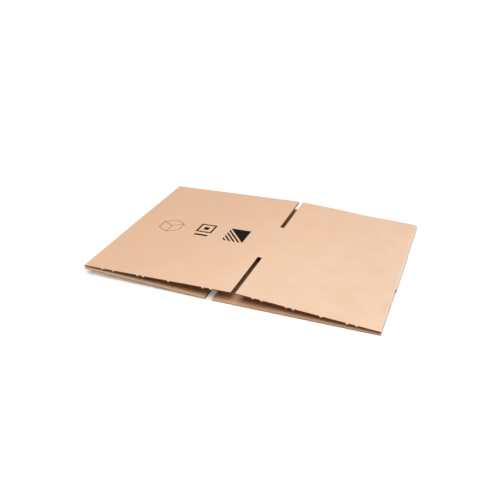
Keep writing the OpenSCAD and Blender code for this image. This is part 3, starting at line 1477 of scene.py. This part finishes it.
@dataclass
class PrintedMark:
    """One plain printed figure on the upper long panel."""

    name: str
    middle: Pair
    ink: Material
    film: float = 0.02 * MM
    drop_from: float = 60 * MM
    weld: float = 0.01 * MM
    grid: float = 3 * MM
    grid_reach: int = 8
    clipped: float = 0.18

    def build(self, carrier: Piece) -> Piece:
        """Models the figure flat, lays it on the board and dresses it.

        Args:
            carrier: The sleeve that carries the print.

        Returns:
            The finished piece.
        """
        piece = join(self.name, self._strokes())
        self._refine(piece)
        piece.data.transform(Matrix.Translation((*self.middle, self.drop_from)))
        ways = {"use_project_z": True, "use_negative_direction": True, "use_positive_direction": False}
        modify(piece, "SHRINKWRAP", target=carrier, wrap_method="PROJECT", offset=self.film, **ways)
        thicken(piece, self.film, 0.0)
        note_places(piece)
        piece.data.materials.append(self.ink)
        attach(piece, "sleeve")
        return piece

    def _strokes(self) -> list[Piece]:
        """Models the figure's parts, flat and about the origin. Each kind of mark has its own."""
        raise NotImplementedError

    def _refine(self, piece: Piece) -> None:
        """Divides the figure finely enough to follow the board.

        Args:
            piece: The flat figure.
        """
        with editing(piece):
            bpy.ops.mesh.select_all(action="SELECT")
            bpy.ops.mesh.remove_doubles(threshold=self.weld)
            for axis in (Vector((1, 0, 0)), Vector((0, 1, 0))):
                for place in range(-self.grid_reach, self.grid_reach + 1):
                    bpy.ops.mesh.select_all(action="SELECT")
                    bpy.ops.mesh.bisect(plane_co=tuple(axis * place * self.grid), plane_no=tuple(axis))

    @staticmethod
    def _polygon(name: str, sides: int, radius: float, turn: float = 0.0) -> Piece:
        """Adds a filled regular polygon.

        Args:
            name: Name of the part.
            sides: How many sides it has.
            radius: Distance of its corners from the middle.
            turn: Angle that its first corner is turned from +Y.

        Returns:
            The part.
        """
        circle = {"vertices": sides, "radius": radius, "fill_type": "NGON"}
        part = start_from(bpy.ops.mesh.primitive_circle_add, name, **circle)
        part.data.transform(Matrix.Rotation(turn, 4, "Z"))
        return part

    def _bar(self, name: str, size: Pair, place: Pair, turn: float = 0.0) -> Piece:
        """Adds a filled bar with clipped corners.

        Args:
            name: Name of the part.
            size: Its length and width.
            place: Its middle.
            turn: Its angle from +X.

        Returns:
            The part.
        """
        part = start_from(bpy.ops.mesh.primitive_plane_add, name, size=1)
        part.data.transform(Matrix.Diagonal((*size, 1.0, 1.0)))
        with editing(part):
            bpy.ops.mesh.select_all(action="SELECT")
            bpy.ops.mesh.bevel(offset=min(size) * self.clipped, segments=2, affect="VERTICES")
        part.data.transform(Matrix.Translation((*place, 0.0)) @ Matrix.Rotation(turn, 4, "Z"))
        return part

    @staticmethod
    def _hollow(part: Piece, line: float) -> Piece:
        """Leaves only a line round a filled part.

        Args:
            part: The filled part.
            line: Width of the line.

        Returns:
            The same part.
        """
        with editing(part):
            bpy.ops.mesh.select_mode(type="FACE")
            bpy.ops.mesh.select_all(action="SELECT")
            bpy.ops.mesh.inset(thickness=line, use_even_offset=True)
            bpy.ops.mesh.delete(type="FACE")
        return part


@dataclass
class LineBoxMark(PrintedMark):
    """A carton drawn in thin lines."""

    radius: float = 22 * MM
    line: float = 0.9 * MM
    edge_turns: Triple = (QUARTER_TURN * 3, math.radians(30), math.radians(150))

    def _strokes(self) -> list[Piece]:
        """Draws a hexagon outline with the three near edges of a box.

        Returns:
            The parts.
        """
        parts = [self._hollow(self._polygon("box_outline", sides=6, radius=self.radius), self.line)]
        reach = self.radius - self.line
        for turn in self.edge_turns:
            middle = (math.cos(turn) * reach / 2, math.sin(turn) * reach / 2)
            parts.append(self._bar("box_edge", (reach, self.line), middle, turn))
        return parts


@dataclass
class FrameMark(PrintedMark):
    """A bold square frame with a solid core, over a short bar."""

    radius: float = 20 * MM
    line: float = 3.2 * MM
    core: float = 0.32
    lift: float = 8 * MM
    bar: Pair = (24 * MM, 5 * MM)
    bar_gap: float = 3.5 * MM
    square_on: float = math.radians(45)

    def _strokes(self) -> list[Piece]:
        """Draws a frame, its core and the bar below.

        Returns:
            The parts.
        """
        square = {"sides": 4, "turn": self.square_on}
        outline = self._hollow(self._polygon("frame_outline", radius=self.radius, **square), self.line)
        core = self._polygon("frame_core", radius=self.radius * self.core, **square)
        for part in (outline, core):
            part.data.transform(Matrix.Translation((0.0, self.lift, 0.0)))
        bar = self._bar("frame_bar", self.bar, (0.0, self.lift - self.radius - self.bar_gap))
        return [outline, core, bar]


@dataclass
class StripedMark(PrintedMark):
    """A solid wedge beside slanted stripes."""

    width: float = 36 * MM
    height: float = 42 * MM
    stripes: int = 5
    stripe_share: float = 0.085

    def _strokes(self) -> list[Piece]:
        """Cuts a rectangle into a wedge and stripes.

        Returns:
            The one part that is left.
        """
        part = start_from(bpy.ops.mesh.primitive_plane_add, "wedge", size=1)
        part.data.transform(Matrix.Diagonal((self.width, self.height, 1.0, 1.0)))
        slant = Vector((self.height, self.width, 0.0)).normalized()
        gap = self.width * self.stripe_share
        with editing(part):
            for place in range(2 * self.stripes):
                bpy.ops.mesh.select_all(action="SELECT")
                bpy.ops.mesh.bisect(plane_co=tuple(-slant * gap * place), plane_no=tuple(slant))
            bpy.ops.mesh.select_mode(type="FACE")
            bpy.ops.mesh.select_all(action="DESELECT")
            cage = bmesh.from_edit_mesh(part.data)
            for face in cage.faces:
                depth = -face.calc_center_median().dot(slant) / gap
                face.select_set(depth > 0 and math.floor(depth) % 2 == 0)
            bmesh.update_edit_mesh(part.data)
            bpy.ops.mesh.delete(type="FACE")
        return [part]


@dataclass
class Carton:
    """The whole folded carton: sleeve, flaps and print."""

    layout: CartonLayout
    finishes: FinishSet
    thumb_spread: float = 34 * MM
    thumb_drop: float = 1 * MM
    corner_drop: float = -1.3 * MM
    corner_order: int = 2
    long_corner: float = 150 * MM
    short_corner: float = 90 * MM
    mark_runs: Triple = (-161 * MM, -99 * MM, -41 * MM)
    mark_reach: float = 2 * MM

    def build(self) -> Iterator[Piece]:
        """Builds every piece in order.

        Yields:
            Each piece as it is finished, and last the glue tab's CAD node with its own finish.
        """
        flaps = self.flaps()
        sleeve = SleeveBoard(self.layout, self.finishes, flaps).build()
        yield sleeve
        for flap in flaps.values():
            yield flap.build()
        for mark in self.marks():
            yield mark.build(sleeve)
        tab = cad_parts["glue_tab"]
        tab.data.materials.clear()
        tab.data.materials.append(self.finishes.tab)
        yield tab

    def flaps(self) -> dict[str, FlapBoard]:
        """Lists the eight flaps.

        Returns:
            The flaps, by CAD node.
        """
        layout = self.layout
        long_width = layout.long_run - layout.slot / 2 + layout.edge_out
        short_width = layout.short_run - layout.slot / 2 + layout.edge_out
        last_width = layout.lower_long.length + layout.edge_out
        rows = (
            ("upper", "long", layout.upper_long, -layout.edge_out, long_width, -1),
            ("upper", "short", layout.upper_short, layout.slot / 2, short_width, 1),
            ("lower", "short", layout.lower_short, -layout.edge_out, short_width, -1),
            ("lower", "long", layout.lower_long, 0.0, last_width, 1),
        )
        nicks = {"long": layout.long_nick_shares, "short": layout.short_nick_shares}
        curls = {
            "upper_back_short_flap": Curl(layout.thumb_run, self.thumb_spread, self.thumb_drop),
            "upper_front_long_flap": Curl(long_width, self.long_corner, self.corner_drop, self.corner_order),
            "upper_front_short_flap": Curl(0.0, self.short_corner, self.corner_drop, self.corner_order),
        }
        made: dict[str, FlapBoard] = {}
        for layer, size, panel, run_from, width, fold_side in rows:
            for end in End:
                side = end.name.lower()
                node = f"{layer}_{side}_{size}_flap"
                made[node] = FlapBoard(
                    layout=layout,
                    finishes=self.finishes,
                    node=node,
                    body=f"{side}_{size}_flap" if layer == "upper" else "sleeve",
                    panel=panel,
                    end=end,
                    run_from=run_from,
                    width=width,
                    fold_side=fold_side,
                    nick_shares=nicks[size] if end is End.FRONT else (),
                    curls=(curls[node],) if node in curls else (),
                    seed=len(made) + 1,
                )
        return made

    def marks(self) -> list[PrintedMark]:
        """Lists the three printed figures.

        Returns:
            The figures, from left to right.
        """
        kinds = (
            (LineBoxMark, "printed_line_box"),
            (FrameMark, "printed_frame"),
            (StripedMark, "printed_stripes"),
        )
        return [
            kind(name=name, middle=(run, self.mark_reach), ink=self.finishes.ink)
            for (kind, name), run in zip(kinds, self.mark_runs)
        ]


@dataclass(frozen=True)
class Lamp:
    """A lamp that points at the carton. Its spread is a sun's angle or the side of a square panel."""

    name: str
    kind: LampKind
    energy: float
    spread: float
    place: Triple
    tint: Triple = (1.0, 1.0, 1.0)

    def build(self) -> None:
        """Adds the lamp."""
        light = bpy.data.lights.new(self.name, self.kind.value)
        light.energy = self.energy
        light.color = self.tint
        if self.kind is LampKind.SUN:
            light.angle = self.spread
        else:
            light.shape = "SQUARE"
            light.size = self.spread
        lamp = bpy.data.objects.new(self.name, light)
        bpy.context.scene.collection.objects.link(lamp)
        lamp.location = self.place
        lamp.rotation_euler = (-Vector(self.place)).to_track_quat("-Z", "Y").to_euler()


@dataclass(frozen=True)
class Studio:
    """Pale floor, soft light and the camera of the photograph."""

    focal_pixels: float = 604.16
    image_pixels: float = 500.0
    sensor: float = 36.0
    pitch: float = math.radians(29.692)
    yaw: float = math.radians(-22.529)
    roll: float = math.radians(-1.674)
    stand: Triple = (313.88 * MM, -797.85 * MM, 490.0 * MM)
    clip: Pair = (10 * MM, 100.0)
    sky: float = 0.12
    sky_tint: Colour = (0.97, 0.985, 1.0, 1.0)
    white: Colour = (1.0, 1.0, 1.0, 1.0)
    floor_tint: Colour = (0.89, 0.9, 0.915, 1.0)
    floor_size: float = 40.0
    floor_drop: float = 0.05 * MM
    near_lift: float = 0.17
    far_lift: float = 0.5
    lift_from: float = 180 * MM
    lift_to: float = 520 * MM
    lamps: tuple[Lamp, ...] = (
        Lamp(
            name="soft_key",
            kind=LampKind.SUN,
            energy=1.88,
            spread=math.radians(60),
            place=(0.03, -0.22, 1.0),
            tint=(1.0, 0.985, 0.96),
        ),
        Lamp(name="side_panel", kind=LampKind.PANEL, energy=2.8, spread=0.6, place=(0.15, -0.5, 0.8)),
        Lamp(name="back_panel", kind=LampKind.PANEL, energy=1.6, spread=0.5, place=(0.6, 0.7, 0.75)),
    )

    def build(self) -> None:
        """Sets up the stage: a soft sun from above, a near panel in front and a weak one behind."""
        bpy.context.scene.view_settings.view_transform = "Standard"
        self._camera()
        self._world()
        for lamp in self.lamps:
            lamp.build()
        self._floor()

    def _camera(self) -> None:
        """Places the camera."""
        level = math.cos(self.pitch)
        forward = Vector((math.sin(self.yaw) * level, math.cos(self.yaw) * level, -math.sin(self.pitch)))
        right = Vector((math.cos(self.yaw), -math.sin(self.yaw), 0.0))
        up = right.cross(forward)
        leaned_right = math.cos(self.roll) * right + math.sin(self.roll) * up
        leaned_up = -math.sin(self.roll) * right + math.cos(self.roll) * up
        lens = bpy.data.cameras.new("photo_camera")
        lens.sensor_fit = "HORIZONTAL"
        lens.sensor_width = self.sensor
        lens.lens = self.focal_pixels / self.image_pixels * self.sensor
        lens.clip_start, lens.clip_end = self.clip
        camera = bpy.data.objects.new("photo_camera", lens)
        bpy.context.scene.collection.objects.link(camera)
        turn = Matrix((leaned_right, leaned_up, -forward)).transposed().to_4x4()
        camera.matrix_world = Matrix.Translation(self.stand) @ turn
        bpy.context.scene.camera = camera

    def _world(self) -> None:
        """Adds even light from all round, which the camera sees as white."""
        world = bpy.data.worlds.new("soft_room")
        bpy.context.scene.world = world
        world.use_nodes = True
        sheet = NodeSheet(world.node_tree)
        looks = ((self.sky_tint, self.sky), (self.white, 1.0))
        room, white = (
            sheet.node("ShaderNodeBackground", sockets={"Color": tint, "Strength": strength}).outputs[0]
            for tint, strength in looks
        )
        choice = sheet.node("ShaderNodeMixShader", sockets={0: sheet.shown(), 1: room, 2: white})
        sheet.node("ShaderNodeOutputWorld", sockets={"Surface": choice.outputs[0]})

    def _floor(self) -> None:
        """Adds a wide pale floor that keeps the shadow and is white to the camera elsewhere."""
        plane = {"size": self.floor_size, "location": (0.0, 0.0, -self.floor_drop)}
        floor = start_from(bpy.ops.mesh.primitive_plane_add, "pale_floor", **plane)
        paint = Paint("pale_floor")
        spot = paint.place(Source.OBJECT)
        reach = paint.node("ShaderNodeVectorMath", {"operation": "LENGTH"}, {0: spot}).outputs["Value"]
        lift = paint.shown() * paint.step(reach, self.lift_from, self.lift_to, self.near_lift, self.far_lift)
        matt = paint.node("ShaderNodeBsdfDiffuse", sockets={"Color": self.floor_tint})
        glow = paint.node("ShaderNodeEmission", sockets={"Color": lift, "Strength": 1.0})
        both = paint.node("ShaderNodeAddShader", sockets={0: matt.outputs[0], 1: glow.outputs[0]})
        paint.node("ShaderNodeOutputMaterial", sockets={"Surface": both.outputs[0]})
        floor.data.materials.append(paint.material)
        floor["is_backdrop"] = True


def note_sizes() -> None:
    """Works out the CAD box and the visual model's box as plain lists."""
    boxes = {"cad": CAD_BOX, "visual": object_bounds()}
    plain = {name: [list(corner) for corner in box] for name, box in boxes.items()}


def main() -> None:
    """Builds the stage and the carton, and reports each piece."""
    logging.basicConfig(level=logging.INFO, format="%(name)s: %(message)s")
    layout = CartonLayout()
    Studio().build()
    for piece in Carton(layout, FinishSet(layout)).build():
        LOG.info("%s: %d faces", piece.name, len(piece.data.polygons))
    note_sizes()


if __name__ == "__main__":
    main()
